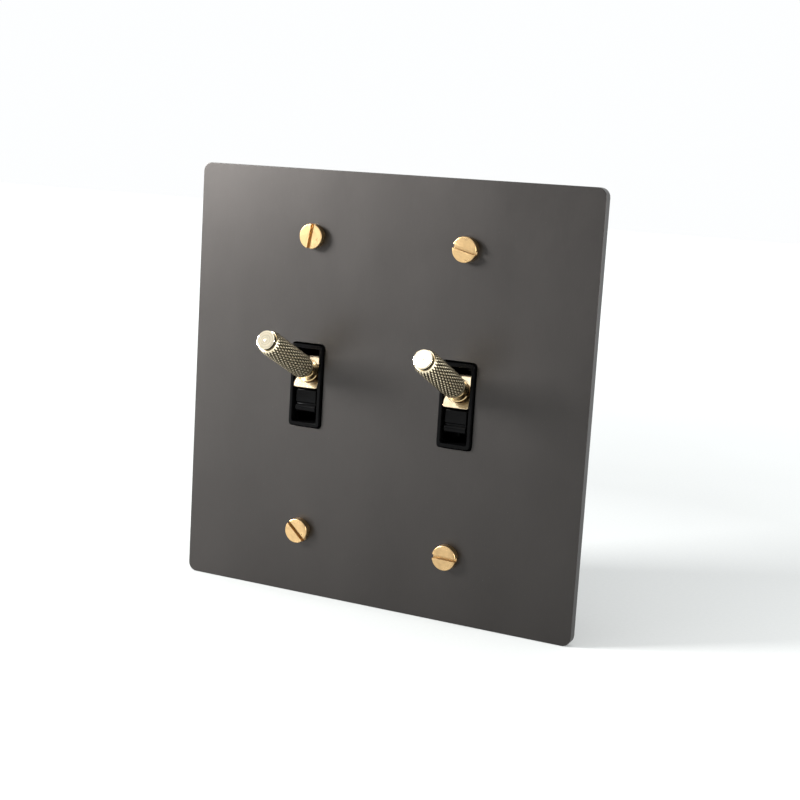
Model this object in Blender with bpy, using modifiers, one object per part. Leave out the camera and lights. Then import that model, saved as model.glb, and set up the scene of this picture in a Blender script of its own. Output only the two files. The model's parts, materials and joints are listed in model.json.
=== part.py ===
"""A two-gang toggle wall switch: a square metal face plate, four coin-slot screws and two snap switches with
knurled levers. Metres, +X to the right, +Y into the wall, +Z up. The origin is the centre of the face plate's
back, which lies against the wall. Both levers are at rest in their upper position."""

import math

import bmesh
import bpy
from mathutils import Matrix

MM = 0.001
GAP = 0.3 * MM  # clearance between pieces that touch
THREAD_PLAY = 0.25 * MM  # between a shank and the bore it screws into
OVERCUT = 1 * MM  # how far a cutter runs past the face it opens

# Face plate and gang spacing
PLATE_SIDE = 120 * MM
PLATE_THICKNESS = 3 * MM
PLATE_CORNER = 2.5 * MM
PLATE_EDGE = 0.25 * MM
GANG_PITCH = 46.04 * MM
POCKET_WIDTH = 34 * MM
POCKET_HEIGHT = 109 * MM
POCKET_DEPTH = 1.6 * MM
POCKET_CORNER = 3 * MM
OPENING_WIDTH = 10.3 * MM
OPENING_HEIGHT = 23.8 * MM
OPENING_CORNER = 1 * MM

# Coin-slot screws that hold plate and straps to the wall box
SCREW_SPACING = 83.34 * MM
SCREW_HEAD_RADIUS = 3.45 * MM
SCREW_HEAD_HEIGHT = 2.2 * MM
SCREW_SHANK_RADIUS = 1.72 * MM
SCREW_END = 20 * MM
SCREW_HOLE_RADIUS = 2.05 * MM
SCREW_SLOT_WIDTH = 1.0 * MM
SCREW_SLOT_DEPTH = 1.2 * MM
SCREW_RIM = 0.2 * MM
SCREW_TIP = 0.4 * MM
SLOT_ANGLES = {("left", "upper"): 81, ("right", "upper"): -14, ("left", "lower"): -43, ("right", "lower"): -2}
RETAINER_SIDE = 8 * MM
RETAINER_THICKNESS = 0.8 * MM
RETAINER_CORNER = 0.8 * MM

# Mounting strap of one gang
STRAP_THICKNESS = 1.2 * MM
STRAP_BACK = -0.1 * MM
STRAP_HEIGHT = 106 * MM
STRAP_EAR_WIDTH = 33 * MM
STRAP_WAIST_WIDTH = 27 * MM
STRAP_WAIST_HALF = 36 * MM
STRAP_SLOT_LENGTH = 7.5 * MM
STRAP_SLOT_CORNER = 2.03 * MM
STRAP_CORNER = 3 * MM
STRAP_SHOULDER = 1 * MM
STRAP_WINDOW_MARGIN = 0.6 * MM
STRAP_WINDOW_CORNER = 1.2 * MM
COVER_SCREW_SPACING = 60.33 * MM
COVER_SCREW_RADIUS = 1.5 * MM
GROUND_TAB_DEPTH = 9.5 * MM
GROUND_TAB_HEIGHT = 10 * MM
GROUND_TAB_X = -15 * MM
GROUND_TAB_Z = -44 * MM
GROUND_SCREW_Y = 4.9 * MM
GROUND_HEAD_RADIUS = 3.9 * MM
GROUND_HEAD_HEIGHT = 2.2 * MM
GROUND_SCREW_LENGTH = 7 * MM

# Moulded cover with the collar, and the housing behind it
BODY_WIDTH = 30 * MM
BODY_HEIGHT = 66 * MM
BODY_CORNER = 2 * MM
COVER_FRONT = STRAP_BACK + GAP
COVER_THICKNESS = 1.9 * MM
COLLAR_PROUD = 1 * MM
COLLAR_WIDTH = 9.5 * MM
COLLAR_HEIGHT = 23 * MM
COLLAR_INSIDE_WIDTH = 7.9 * MM
COLLAR_INSIDE_HEIGHT = 21 * MM
COLLAR_CORNER = 0.8 * MM
COLLAR_INSIDE_CORNER = 0.5 * MM
HUB_RELIEF_HALF = 11.7 * MM
HUB_RELIEF_SKIN = 0.7 * MM
HOUSING_FRONT = COVER_FRONT + COVER_THICKNESS + GAP
HOUSING_BACK = 27 * MM
CHAMBER_HALF_WIDTH = 4.2 * MM
CHAMBER_HALF_HEIGHT = 13 * MM
CHAMBER_FLOOR = 24.1 * MM
RIVET_X = 10.6 * MM
RIVET_Z = 28.5 * MM
RIVET_RADIUS = 1.25 * MM
RIVET_SET_RADIUS = 2.2 * MM
RIVET_SET_HEIGHT = 0.9 * MM
RIVET_SINK_DEPTH = 1 * MM
RIVET_SINK_RADIUS = 2.5 * MM
RIVET_SINK_MARGIN = 0.5 * MM
RIVET_RECESS = 0.1 * MM
SINK_OVERCUT = 0.05 * MM

# Lever: distances along its axis from the pivot
LEVER_TILT = 24
PIVOT_Y = 6.5 * MM
TRUNNION_RADIUS = 2.3 * MM
TRUNNION_REACH = 6.6 * MM
KEEPER_INSET = 0.4 * MM
KEEPER_BACK = 3.6 * MM
HUB_WIDTH = 6.3 * MM
HUB_SEAT = 7 * MM
HUB_SEAT_HALF = 5.1 * MM
HUB_LEDGE = 8.2 * MM
HUB_SLOPE_END = (8.9 * MM, 6.5 * MM)
HUB_LIP_CENTRE = (9.7 * MM, 5 * MM)
HUB_LIP_RADIUS = 1 * MM
HUB_SKIRT_BACK = ((9.2 * MM, 4.4 * MM), (5 * MM, 4.7 * MM))
HUB_DRUM_RADIUS = 4.6 * MM
HUB_TAIL_HALF = 3 * MM
BLOCK_WIDTH = 7.4 * MM
BLOCK_LENGTH = 9.5 * MM
BLOCK_BOTTOM = 7.3 * MM
BLOCK_TOP = 9.5 * MM
BLOCK_CORNER = 0.6 * MM
BLOCK_EDGE = 0.35 * MM
BLOCK_SEAT_DEPTH = 0.5 * MM
STUD_RADIUS = 1.5 * MM
STUD_BOTTOM = 1.2 * MM
STUD_TOP = 32.6 * MM
STUD_TIP = 0.3 * MM
FLANGE_RADIUS = 3.1 * MM
FLANGE_TOP = 10 * MM
FLANGE_EDGE = 0.15 * MM
NECK_RADIUS = 1.6 * MM
SHOULDER_RADIUS = 2.3 * MM
SHOULDER_FLARE = 1 * MM
GRIP_BOTTOM = 12.9 * MM
BAND_TOP = 14.3 * MM
BAND_RADIUS = 3.1 * MM
BAND_CHAMFER = 0.3 * MM
GRIP_TOP = 35.1 * MM
GRIP_RADIUS = 3.45 * MM
GRIP_BORE = 1.8 * MM
GRIP_CHAMFER = 0.6 * MM
GRIP_TOP_TAPER = 1 * MM
CAP_TOP = 36.3 * MM
CAP_RADIUS = 2.9 * MM
CAP_EDGE = 0.25 * MM
CAP_STEM = 2 * MM
SPRING_SEAT = -3 * MM
SPRING_BORE = 2 * MM
SPRING_RADIUS = 1.4 * MM
SPRING_WIRE = 0.28 * MM
SPRING_TURNS = 5
SPRING_SIDES = 10
SPRING_PLAY = 0.1 * MM
TAIL_END = -8.2 * MM
PLUNGER_TIP = -10.2 * MM
PLUNGER_RADIUS = 1.7 * MM
PLUNGER_PIN_RADIUS = 0.85 * MM
PLUNGER_PIN_TOP = -5.2 * MM

# Rocker that the lever's spring tips from side to side
ROCKER_Y = 18.6 * MM
ROCKER_TILT = 6
ROCKER_THICKNESS = 0.8 * MM
ROCKER_WIDTH = 6.4 * MM
ROCKER_TOP = 6.5 * MM
ROCKER_BOTTOM = -12.3 * MM
CRADLE_HALF = 5.5 * MM
CRADLE_CLEARANCE = 0.35 * MM
CONTACT_Z = -10.3 * MM
CONTACT_RADIUS = 1.8 * MM
CONTACT_HEIGHT = 0.8 * MM
CONTACT_EDGE = 0.3 * MM

# Brass terminals on the right-hand side of each housing
TERMINAL_THICKNESS = 1.2 * MM
TERMINAL_X = 12.1 * MM
TERMINAL_FRONT = 9 * MM
TERMINAL_NEAR = 8 * MM
TERMINAL_FAR = 20 * MM
TERMINAL_SCREW_Y = 14.5 * MM
TERMINAL_SCREW_Z = 14.5 * MM
COMMON_STRIP_Y = 20.3 * MM
COMMON_STRIP_WIDTH = 3 * MM
SWITCHED_STRIP_Y = 22.8 * MM
SWITCHED_STRIP_WIDTH = 4.5 * MM
STRIP_REACH = 12.5 * MM
STRIP_THICKNESS = 1 * MM
TONGUE_END = -2.5 * MM
RIDGE_ROOT = 1 * MM
RIDGE_TIP = 0.1 * MM
RIDGE_WIDTH = 6.2 * MM
RECESS_X = 11.5 * MM
RECESS_NEAR = 7.5 * MM
RECESS_FAR = 21.5 * MM
RECESS_FRONT = 8 * MM
CORE_WIDTH = 11 * MM
CORE_NEAR = 16 * MM
CORE_FAR = 27 * MM
CORE_FLOOR = 19 * MM
PUSH_IN_RADIUS = 1.25 * MM
PUSH_IN_DEPTH = 6 * MM
PUSH_IN_Z = 19 * MM
PUSH_IN_X = (2.5 * MM, 7.5 * MM)
TERMINAL_HEAD_RADIUS = 3.4 * MM
TERMINAL_HEAD_HEIGHT = 1.9 * MM
TERMINAL_SCREW_LENGTH = 4.8 * MM
TERMINAL_SCREW_BORE = 2.2 * MM
DRIVER_SLOT = 1.1 * MM
DRIVER_SLOT_ANGLES = {"common": 35, "switched": 100, "ground": 20}

GANGS = {"left": -GANG_PITCH / 2, "right": GANG_PITCH / 2}
ROWS = {"upper": SCREW_SPACING / 2, "lower": -SCREW_SPACING / 2}

# Colour, metallic, roughness
FINISHES = {
    "smoked_bronze": ((0.085, 0.078, 0.072), 0.9, 0.45),
    "satin_brass": ((0.60, 0.42, 0.16), 1.0, 0.32),
    "pale_brass": ((0.78, 0.68, 0.45), 1.0, 0.22),
    "black_moulding": ((0.012, 0.012, 0.013), 0.0, 0.35),
    "zinc_steel": ((0.62, 0.63, 0.64), 1.0, 0.38),
    "terminal_brass": ((0.70, 0.52, 0.22), 1.0, 0.35),
    "silver_contact": ((0.82, 0.82, 0.80), 1.0, 0.25),
    "green_steel": ((0.04, 0.30, 0.10), 0.6, 0.40),
    "fibre": ((0.42, 0.33, 0.22), 0.0, 0.90),
    "spring_steel": ((0.45, 0.46, 0.48), 1.0, 0.30),
    "cream_nylon": ((0.75, 0.72, 0.62), 0.0, 0.45),
}


def clear_scene():
    for obj in list(bpy.data.objects):
        bpy.data.objects.remove(obj, do_unlink=True)


def new_collection(name, is_helper):
    collection = bpy.data.collections.new(name)
    bpy.context.scene.collection.children.link(collection)
    collection.hide_render = is_helper
    return collection


def make_material(name):
    colour, metallic, roughness = FINISHES[name]
    material = bpy.data.materials.new(name)
    material.use_nodes = True
    shader = material.node_tree.nodes["Principled BSDF"]
    shader.inputs["Base Color"].default_value = (*colour, 1)
    shader.inputs["Metallic"].default_value = metallic
    shader.inputs["Roughness"].default_value = roughness
    return material


def add_object(name, mesh, material=None, parent=None):
    """Link a mesh as a part, or as a cutter when it has no material."""
    obj = bpy.data.objects.new(name, mesh)
    obj.parent = parent
    if material:
        PARTS.objects.link(obj)
        mesh.materials.append(MATERIALS[material])
    else:
        CUTTERS.objects.link(obj)
        obj.hide_render = True
        obj.display_type = "WIRE"
    return obj


def mesh_from(name, build, *args, matrix=None, **settings):
    bm = bmesh.new()
    build(bm, *args, **settings)
    mesh = bpy.data.meshes.new(name)
    bm.to_mesh(mesh)
    bm.free()
    if matrix:
        mesh.transform(matrix)
    return mesh


def box(name, low, high, material=None, parent=None):
    """A box between two opposite corners."""
    size = [h - l for l, h in zip(low, high)]
    centre = [(h + l) / 2 for l, h in zip(low, high)]
    place = Matrix.Translation(centre) @ Matrix.Diagonal((*size, 1))
    mesh = mesh_from(name, bmesh.ops.create_cube, size=1, matrix=place)
    return add_object(name, mesh, material, parent)


def along(axis):
    """The rotation that turns +Z to the named axis."""
    turns = {"X": Matrix.Rotation(math.pi / 2, 4, "Y"), "Y": Matrix.Rotation(-math.pi / 2, 4, "X")}
    return turns.get(axis, Matrix.Identity(4))


def cylinder(name, axis, start, length, radius, end_radius=None, sides=16, material=None, parent=None):
    """A round bar or cone from start, going length along the axis."""
    mesh = mesh_from(
        name, bmesh.ops.create_cone, cap_ends=True, segments=sides, radius1=radius,
        radius2=radius if end_radius is None else end_radius, depth=length,
        matrix=Matrix.Translation(start) @ along(axis) @ Matrix.Translation((0, 0, length / 2)),
    )
    return add_object(name, mesh, material, parent)


def arc(centre, radius, start, end, steps):
    """Points on an arc, with the angles in degrees from the first axis."""
    turns = [math.radians(start + (end - start) * i / steps) for i in range(steps + 1)]
    return [(centre[0] + radius * math.cos(a), centre[1] + radius * math.sin(a)) for a in turns]


def circle(radius, centre=(0, 0), sides=16):
    return arc(centre, radius, 0, 360, sides)[:-1]


def rounded_rectangle(width, height, corner, centre=(0, 0), steps=3):
    x, z = width / 2 - corner, height / 2 - corner
    corners = [(x, z, 0), (-x, z, 90), (-x, -z, 180), (x, -z, 270)]
    points = []
    for dx, dz, turn in corners:
        points += arc((centre[0] + dx, centre[1] + dz), corner, turn, turn + 90, steps)
    return points


FRONT_PLANE = Matrix(((1, 0, 0, 0), (0, 0, -1, 0), (0, 1, 0, 0), (0, 0, 0, 1)))
SIDE_PLANE = Matrix(((0, 0, 1, 0), (1, 0, 0, 0), (0, 1, 0, 0), (0, 0, 0, 1)))


def outline(name, loops, thickness, plane, centre, material=None, parent=None):
    """A flat piece with the given outline, and with any further loops as holes, centred on a point."""
    curve = bpy.data.curves.new(name, "CURVE")
    curve.dimensions = "2D"
    curve.fill_mode = "BOTH"
    curve.extrude = thickness / 2
    for loop in loops:
        spline = curve.splines.new("POLY")
        spline.points.add(len(loop) - 1)
        for point, (u, v) in zip(spline.points, loop):
            point.co = (u, v, 0, 1)
        spline.use_cyclic_u = True
    source = bpy.data.objects.new(name, curve)
    PARTS.objects.link(source)
    bpy.context.view_layer.update()
    mesh = bpy.data.meshes.new_from_object(source.evaluated_get(bpy.context.evaluated_depsgraph_get()))
    bpy.data.objects.remove(source, do_unlink=True)
    bpy.data.curves.remove(curve)
    bm = bmesh.new()
    bm.from_mesh(mesh)
    bmesh.ops.remove_doubles(bm, verts=bm.verts, dist=0.001 * MM)
    bmesh.ops.recalc_face_normals(bm, faces=bm.faces)
    bm.to_mesh(mesh)
    bm.free()
    mesh.name = name
    mesh.materials.clear()
    mesh.transform(Matrix.Translation(centre) @ plane)
    return add_object(name, mesh, material, parent)


def turned(name, profile, material=None, parent=None, axis="Z", start=(0, 0, 0), steps=32, closed=False):
    """A turned piece: profile is (radius, height) pairs down the outside, from top to bottom."""
    bm = bmesh.new()
    points = [bm.verts.new((radius, 0, height)) for radius, height in profile]
    for first, second in zip(points, points[1:] + points[:1] * closed):
        bm.edges.new((first, second))
    mesh = bpy.data.meshes.new(name)
    bm.to_mesh(mesh)
    bm.free()
    obj = add_object(name, mesh, material, parent)
    screw = obj.modifiers.new("turn", "SCREW")
    screw.steps = steps
    screw.render_steps = steps
    screw.use_merge_vertices = True
    screw.merge_threshold = 0.001 * MM
    obj.matrix_local = Matrix.Translation(start) @ along(axis)
    return obj


def boolean(obj, other, operation="DIFFERENCE"):
    modifier = obj.modifiers.new(other.name, "BOOLEAN")
    modifier.operation = operation
    modifier.object = other


def soften(obj, width, segments=1, angle=40):
    modifier = obj.modifiers.new("soft_edges", "BEVEL")
    modifier.width = width
    modifier.segments = segments
    modifier.limit_method = "ANGLE"
    modifier.angle_limit = math.radians(angle)


def empty(name, location, tilt):
    """A turning axis along X, with its children tilted about it by an angle in degrees."""
    obj = bpy.data.objects.new(name, None)
    PARTS.objects.link(obj)
    obj.location = location
    obj.rotation_euler = (math.radians(tilt), 0, 0)
    return obj


def make_face_plate():
    openings = [
        rounded_rectangle(OPENING_WIDTH, OPENING_HEIGHT, OPENING_CORNER, (x, 0)) for x in GANGS.values()
    ]
    holes = [circle(SCREW_HOLE_RADIUS, (x, z)) for x in GANGS.values() for z in ROWS.values()]
    square = rounded_rectangle(PLATE_SIDE, PLATE_SIDE, PLATE_CORNER, steps=6)
    plate = outline(
        "face_plate", [square, *openings, *holes], PLATE_THICKNESS, FRONT_PLANE,
        (0, -PLATE_THICKNESS / 2, 0), "smoked_bronze",
    )
    for side, x in GANGS.items():
        pocket = outline(
            side + "_strap_pocket_cutter", [rounded_rectangle(POCKET_WIDTH, POCKET_HEIGHT, POCKET_CORNER)],
            2 * POCKET_DEPTH, FRONT_PLANE, (x, 0, 0),
        )
        boolean(plate, pocket)
    soften(plate, PLATE_EDGE)


def slotted_screw(name, place, slot_angle, size, material, steps=32):
    """One slotted screw, its head on +Z of the given placing and its shank on -Z."""
    head_radius, head_height, shank_radius, length, slot_width, slot_depth = size
    profile = [
        (0, head_height), (head_radius - SCREW_RIM, head_height), (head_radius, head_height - SCREW_RIM),
        (head_radius, 0), (shank_radius, 0), (shank_radius, SCREW_TIP - length),
        (shank_radius - SCREW_TIP, -length), (0, -length),
    ]
    screw = turned(name, profile, material, steps=steps)
    screw.matrix_local = place
    slot = box(
        name + "_slot_cutter", (-2 * head_radius, -slot_width / 2, head_height - slot_depth),
        (2 * head_radius, slot_width / 2, head_height + slot_depth),
    )
    slot.matrix_local = place @ Matrix.Rotation(math.radians(slot_angle), 4, "Z")
    boolean(screw, slot)


def facing_front(x, y, z):
    """Screw placing with the head towards the viewer and the shank into the wall."""
    return Matrix.Translation((x, y, z)) @ Matrix.Rotation(math.pi / 2, 4, "X")


def make_coin_screws():
    size = (SCREW_HEAD_RADIUS, SCREW_HEAD_HEIGHT, SCREW_SHANK_RADIUS,
            SCREW_END + PLATE_THICKNESS + GAP, SCREW_SLOT_WIDTH, SCREW_SLOT_DEPTH)
    for (side, row), angle in SLOT_ANGLES.items():
        place = facing_front(GANGS[side], -PLATE_THICKNESS - GAP, ROWS[row])
        slotted_screw(f"{side}_{row}_coin_screw", place, angle, size, "satin_brass", steps=30)


def make_retainers():
    """Fibre squares behind the straps that keep the coin screws from dropping out."""
    y = STRAP_BACK + GAP + RETAINER_THICKNESS / 2
    loops = [rounded_rectangle(RETAINER_SIDE, RETAINER_SIDE, RETAINER_CORNER)]
    loops.append(circle(SCREW_SHANK_RADIUS + THREAD_PLAY))
    for side, x in GANGS.items():
        for row, z in ROWS.items():
            name = f"{side}_{row}_screw_retainer"
            outline(name, loops, RETAINER_THICKNESS, FRONT_PLANE, (x, y, z), "fibre")


def strap_outline():
    """Half of the strap's outline from top right to bottom right, then mirrored."""
    ear, waist = STRAP_EAR_WIDTH / 2, STRAP_WAIST_WIDTH / 2
    top, waist_top = STRAP_HEIGHT / 2, STRAP_WAIST_HALF
    upper = arc((ear - STRAP_CORNER, top - STRAP_CORNER), STRAP_CORNER, 90, 0, 5)
    upper += arc((ear - STRAP_SHOULDER, waist_top + STRAP_CORNER), STRAP_SHOULDER, 0, -90, 3)
    upper += [(waist, waist_top)]
    lower = [(x, -z) for x, z in reversed(upper)]
    right = upper + lower
    return right + [(-x, z) for x, z in reversed(right)]


def make_strap(side, x):
    y = STRAP_BACK - STRAP_THICKNESS / 2
    slots = [
        rounded_rectangle(STRAP_SLOT_LENGTH, 2 * SCREW_HOLE_RADIUS, STRAP_SLOT_CORNER, (0, z))
        for z in ROWS.values()
    ]
    tapped = [circle(COVER_SCREW_RADIUS, (0, s * COVER_SCREW_SPACING / 2)) for s in (1, -1)]
    margin = 2 * STRAP_WINDOW_MARGIN
    window = rounded_rectangle(COLLAR_WIDTH + margin, COLLAR_HEIGHT + margin, STRAP_WINDOW_CORNER)
    strap = outline(
        side + "_mounting_strap", [strap_outline(), window, *slots, *tapped], STRAP_THICKNESS,
        FRONT_PLANE, (x, y, 0), "zinc_steel",
    )
    front, margin = STRAP_BACK - STRAP_THICKNESS, SINK_OVERCUT
    for number, (dx, dz) in enumerate(rivet_places()):
        sink = cylinder(
            f"{side}_rivet_{number}_sink_cutter", "Y", (x + dx, front - margin, dz),
            STRAP_THICKNESS + 2 * margin, RIVET_SINK_RADIUS, RIVET_RADIUS + GAP,
        )
        boolean(strap, sink)
    half = TERMINAL_THICKNESS / 2
    tab = box(
        side + "_ground_tab_solid",
        (x + GROUND_TAB_X - half, STRAP_BACK - STRAP_THICKNESS / 2, GROUND_TAB_Z - GROUND_TAB_HEIGHT / 2),
        (x + GROUND_TAB_X + half, GROUND_TAB_DEPTH, GROUND_TAB_Z + GROUND_TAB_HEIGHT / 2),
    )
    hole = cylinder(
        side + "_ground_hole_cutter", "X", (x + GROUND_TAB_X - half - OVERCUT, GROUND_SCREW_Y, GROUND_TAB_Z),
        2 * (half + OVERCUT), SCREW_SHANK_RADIUS + GAP,
    )
    boolean(strap, tab, "UNION")
    boolean(strap, hole)


def rivet_places():
    return [(sx * RIVET_X, sz * RIVET_Z) for sx in (-1, 1) for sz in (-1, 1)]


def make_rivets(side, x):
    """Four long countersunk rivets that clamp strap, cover and housing."""
    front = STRAP_BACK - STRAP_THICKNESS + RIVET_RECESS
    back = HOUSING_BACK + GAP
    end, edge = back + RIVET_SET_HEIGHT, RIVET_SINK_MARGIN
    profile = [
        (0, end), (RIVET_SET_RADIUS - edge, end), (RIVET_SET_RADIUS, end - edge), (RIVET_SET_RADIUS, back),
        (RIVET_RADIUS, back), (RIVET_RADIUS, front + RIVET_SINK_DEPTH),
        (RIVET_SINK_RADIUS - RIVET_SINK_MARGIN, front), (0, front),
    ]
    for number, (dx, dz) in enumerate(rivet_places()):
        name = f"{side}_body_rivet_{number}"
        turned(name, profile, "zinc_steel", axis="Y", start=(x + dx, 0, dz), steps=14)


def make_cover(side, x):
    """The moulded front: a flange under the strap, with the collar that stands through the face plate."""
    holes = [circle(RIVET_RADIUS + GAP, place, 12) for place in rivet_places()]
    holes += [circle(COVER_SCREW_RADIUS + GAP, (0, s * COVER_SCREW_SPACING / 2), 12) for s in (1, -1)]
    cover = outline(
        side + "_bezel_cover", [rounded_rectangle(BODY_WIDTH, BODY_HEIGHT, BODY_CORNER), *holes],
        COVER_THICKNESS, FRONT_PLANE, (x, COVER_FRONT + COVER_THICKNESS / 2, 0), "black_moulding",
    )
    front = -PLATE_THICKNESS - COLLAR_PROUD
    depth = COVER_FRONT + COVER_THICKNESS / 4 - front
    collar = outline(
        side + "_collar_solid", [rounded_rectangle(COLLAR_WIDTH, COLLAR_HEIGHT, COLLAR_CORNER)],
        depth, FRONT_PLANE, (x, front + depth / 2, 0),
    )
    boolean(cover, collar, "UNION")
    through = outline(
        side + "_collar_cutter",
        [rounded_rectangle(COLLAR_INSIDE_WIDTH, COLLAR_INSIDE_HEIGHT, COLLAR_INSIDE_CORNER)],
        4 * depth, FRONT_PLANE, (x, 0, 0),
    )
    boolean(cover, through)
    relief = box(
        side + "_hub_relief_cutter",
        (x - CHAMBER_HALF_WIDTH, COVER_FRONT + HUB_RELIEF_SKIN, -HUB_RELIEF_HALF),
        (x + CHAMBER_HALF_WIDTH, HOUSING_FRONT + OVERCUT, HUB_RELIEF_HALF),
    )
    boolean(cover, relief)
    inner, outer = CHAMBER_HALF_WIDTH + KEEPER_INSET, TRUNNION_REACH + KEEPER_INSET / 2
    for number, (near, far) in enumerate(((inner, outer), (-outer, -inner))):
        keeper = box(
            f"{side}_trunnion_keeper_{number}_solid",
            (x + near, COVER_FRONT + COVER_THICKNESS / 2, -TRUNNION_RADIUS),
            (x + far, KEEPER_BACK, TRUNNION_RADIUS),
        )
        boolean(cover, keeper, "UNION")


def terminal_cutters(name, x, sign, strip_y, strip_width):
    """The hollows of one terminal: side recess, strip slot, screw bore, push-in holes and a core pocket."""
    near, far = sorted((sign * RECESS_NEAR, sign * RECESS_FAR))
    recess = box(
        name + "_recess_cutter", (x + RECESS_X, RECESS_FRONT, near),
        (x + BODY_WIDTH, CHAMBER_FLOOR + GAP, far),
    )
    low, high = sorted((sign * (STRIP_REACH + GAP), sign * (STRIP_REACH - strip_width - GAP)))
    slot = box(
        name + "_strip_cutter", (x, strip_y - GAP, low),
        (x + RECESS_X + OVERCUT, min(strip_y + STRIP_THICKNESS + GAP, CHAMBER_FLOOR), high),
    )
    bore_depth = TERMINAL_SCREW_LENGTH - TERMINAL_THICKNESS
    bore_end = (x + RECESS_X - bore_depth, TERMINAL_SCREW_Y, sign * TERMINAL_SCREW_Z)
    bore = cylinder(name + "_screw_bore_cutter", "X", bore_end, bore_depth + OVERCUT, TERMINAL_SCREW_BORE)
    low, high = sorted((sign * CORE_NEAR, sign * CORE_FAR))
    core = box(
        name + "_core_cutter", (x - CORE_WIDTH / 2, HOUSING_FRONT - OVERCUT, low),
        (x + CORE_WIDTH / 2, CORE_FLOOR, high),
    )
    push_ins = [cylinder(
        f"{name}_push_in_{number}_cutter", "Y", (x + dx, HOUSING_BACK - PUSH_IN_DEPTH, sign * PUSH_IN_Z),
        PUSH_IN_DEPTH + OVERCUT, PUSH_IN_RADIUS, sides=10,
    ) for number, dx in enumerate(PUSH_IN_X)]
    return [recess, slot, bore, core, *push_ins]


def housing_cutters(side, x):
    """Every hollow of the housing: mechanism chamber, trunnion slots and the terminals' hollows."""
    front = HOUSING_FRONT - OVERCUT
    half = CHAMBER_HALF_WIDTH
    cutters = [box(
        side + "_chamber_cutter", (x - half, front, -CHAMBER_HALF_HEIGHT),
        (x + half, CHAMBER_FLOOR, CHAMBER_HALF_HEIGHT),
    )]
    slot_radius, slot_reach = TRUNNION_RADIUS + GAP, TRUNNION_REACH + KEEPER_INSET
    loop = [(front, slot_radius), (front, -slot_radius), *arc((PIVOT_Y, 0), slot_radius, -90, 90, 12)]
    cutters.append(outline(side + "_trunnion_slot_cutter", [loop], 2 * slot_reach, SIDE_PLANE, (x, 0, 0)))
    cutters += terminal_cutters(side + "_upper", x, 1, COMMON_STRIP_Y, COMMON_STRIP_WIDTH)
    cutters += terminal_cutters(side + "_lower", x, -1, SWITCHED_STRIP_Y, SWITCHED_STRIP_WIDTH)
    return cutters


def make_housing(side, x):
    holes = [circle(RIVET_RADIUS + GAP, place, 12) for place in rivet_places()]
    depth = HOUSING_BACK - HOUSING_FRONT
    housing = outline(
        side + "_rear_housing", [rounded_rectangle(BODY_WIDTH, BODY_HEIGHT, BODY_CORNER), *holes],
        depth, FRONT_PLANE, (x, HOUSING_FRONT + depth / 2, 0), "black_moulding",
    )
    for cutter in housing_cutters(side, x):
        boolean(housing, cutter)


def hub_profile():
    """The hub's outline across its axis: block seat, sloping shoulders, dust skirts, drum and spring tail."""
    half = [(HUB_SEAT_HALF, HUB_SEAT), (HUB_SEAT_HALF, HUB_LEDGE), HUB_SLOPE_END]
    half += arc(HUB_LIP_CENTRE, HUB_LIP_RADIUS, 70, -60, 5)
    half += HUB_SKIRT_BACK
    half += arc((0, 0), HUB_DRUM_RADIUS, 20, -46, 7)
    half += [(HUB_TAIL_HALF, TAIL_END)]
    return half + [(-y, z) for y, z in reversed(half)]


def make_hub(side, axis):
    hub = outline(
        side + "_toggle_hub", [hub_profile()], HUB_WIDTH, SIDE_PLANE, (0, 0, 0), "black_moulding", axis,
    )
    trunnions = cylinder(
        side + "_trunnion_solid", "X", (-TRUNNION_REACH, 0, 0), 2 * TRUNNION_REACH, TRUNNION_RADIUS,
        parent=axis,
    )
    boolean(hub, trunnions, "UNION")
    bores = (
        ("stud_bore", STUD_BOTTOM - GAP, HUB_SEAT + OVERCUT, STUD_RADIUS + GAP),
        ("spring_bore", TAIL_END - OVERCUT, SPRING_SEAT, SPRING_BORE),
    )
    for tag, low, high, radius in bores:
        bore = cylinder(f"{side}_{tag}_cutter", "Z", (0, 0, low), high - low, radius, parent=axis)
        boolean(hub, bore)


def make_block(side, axis):
    """The metal block at the foot of the lever, with a round seat for the stud's flange."""
    block = outline(
        side + "_lever_block", [rounded_rectangle(BLOCK_WIDTH, BLOCK_LENGTH, BLOCK_CORNER)],
        BLOCK_TOP - BLOCK_BOTTOM, Matrix.Identity(4), (0, 0, (BLOCK_TOP + BLOCK_BOTTOM) / 2),
        "pale_brass", axis,
    )
    seat = cylinder(
        side + "_block_seat_cutter", "Z", (0, 0, BLOCK_TOP - BLOCK_SEAT_DEPTH), OVERCUT, FLANGE_RADIUS + GAP,
        sides=32, parent=axis,
    )
    bore = cylinder(
        side + "_block_bore_cutter", "Z", (0, 0, BLOCK_BOTTOM - OVERCUT), BLOCK_TOP - BLOCK_BOTTOM + OVERCUT,
        STUD_RADIUS + GAP, parent=axis,
    )
    soften(block, BLOCK_EDGE, 2)
    boolean(block, seat)
    boolean(block, bore)


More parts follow.
